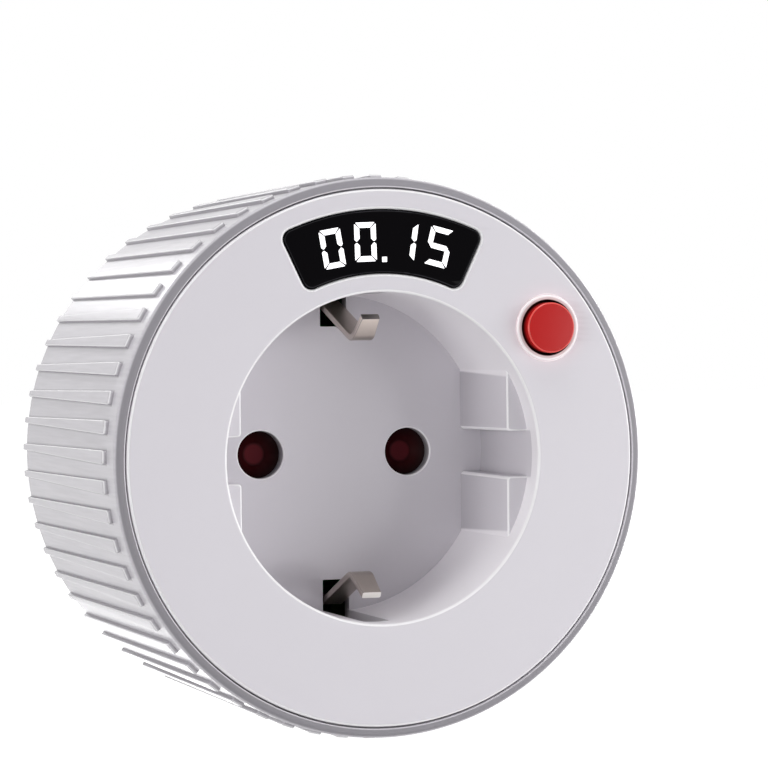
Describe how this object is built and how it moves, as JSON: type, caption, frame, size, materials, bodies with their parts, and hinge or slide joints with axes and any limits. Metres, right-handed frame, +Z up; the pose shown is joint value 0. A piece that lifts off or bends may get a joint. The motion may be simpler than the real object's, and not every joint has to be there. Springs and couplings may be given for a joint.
{
  "type": "plug-in timer socket",
  "caption": "Round plug-in timer socket: an earthed socket well with display and lit button inside a ribbed turning setting ring, with an earthed plug behind.",
  "frame": {"origin": "centre of the plug's end face, midway between the two plug pins", "axes": "+X to the right and +Z up as seen from the front, +Y along the plug pins towards the wall; the front faces -Y"},
  "size_m": [0.0668, 0.0817, 0.0668],
  "materials": {
    "shell": "fine matt light grey moulding",
    "well": "fine matt light grey moulding",
    "housing": "matt light grey moulding",
    "lens": "gloss smoked black",
    "display": "black epoxy face with white segments",
    "button": "satin signal red",
    "halo": "frosted clear light guide",
    "shutter": "dark red moulding",
    "inner_plastic": "black moulding",
    "carrier": "ivory heat-resistant moulding",
    "gear": "natural acetal",
    "spring_steel": "bright spring steel",
    "nickel": "nickel-plated strip",
    "pin_nickel": "bright nickel plate",
    "brass": "bright brass",
    "screw_steel": "zinc-plated steel",
    "board": "green solder mask",
    "relay_case": "blue moulding",
    "film_case": "yellow moulding",
    "can": "black sleeve on aluminium",
    "disc_blue": "blue epoxy",
    "fuse_body": "green epoxy",
    "ferrite": "dark ferrite with copper winding",
    "shield": "tinned shield",
    "cable": "pale flat cable"
  },
  "bodies": {
    "housing": {"board_connectors": "inner_plastic", "board_link": "cable", "board_screws": "screw_steel", "button_light_ring": "halo", "carrier_screws": "screw_steel", "case_screws": "screw_steel", "contact_carrier": "carrier", "control_board": "board", "detent_spring": "spring_steel", "display_lens": "lens", "display_module": "display", "earth_bracket": "nickel", "earth_post": "brass", "earth_screw": "screw_steel", "encoder_body": "inner_plastic", "face_plate": "shell", "filter_choke": "ferrite", "fuse": "fuse_body", "halo_lights": "halo", "mains_capacitor": "film_case", "pin_retainer": "inner_plastic", "plug_earth_strip": "nickel", "plug_pin_left": "pin_nickel", "plug_pin_right": "pin_nickel", "power_board": "board", "radio_module": "shield", "rear_housing": "housing", "relay": "relay_case", "retainer_screws": "screw_steel", "shutter_spring": "spring_steel", "smoothing_capacitor": "can", "socket_contact_left": "brass", "socket_contact_right": "brass", "socket_well": "well", "switch_body": "inner_plastic", "varistor": "disc_blue"},
    "ring": {"setting_ring": "shell"},
    "pinion": {"encoder_pinion": "gear", "encoder_shaft": "screw_steel"},
    "button": {"button_cap": "button", "switch_plunger": "inner_plastic"},
    "shutter": {"shutter": "shutter"}
  },
  "joints": [
    {"name": "ring_turn", "type": "hinge", "parent": "housing", "child": "ring", "pos_m": [0, -0.0414, 0], "axis": [0, 1, 0], "continuous": true, "deforming": ["detent_spring"]},
    {"name": "pinion_turn", "type": "hinge", "parent": "housing", "child": "pinion", "pos_m": [-0.02162, -0.0572, -0.01514], "axis": [0, 1, 0], "continuous": true},
    {"name": "button_press", "type": "slide", "parent": "housing", "child": "button", "axis": [0, 1, 0], "range_m": [0, 0.0005], "stiffness_N_per_m": 1200, "springref_m": -0.0008},
    {"name": "shutter_turn", "type": "hinge", "parent": "housing", "child": "shutter", "pos_m": [0, -0.0411, 0], "axis": [0, 1, 0], "range_deg": [0, 42], "stiffness_Nm_per_rad": 0.004, "springref_deg": -22.92, "deforming": ["shutter_spring"]}
  ],
  "couplings": [
    {"joint": "pinion_turn", "follows": "ring_turn", "ratio": 7.2857}
  ]
}
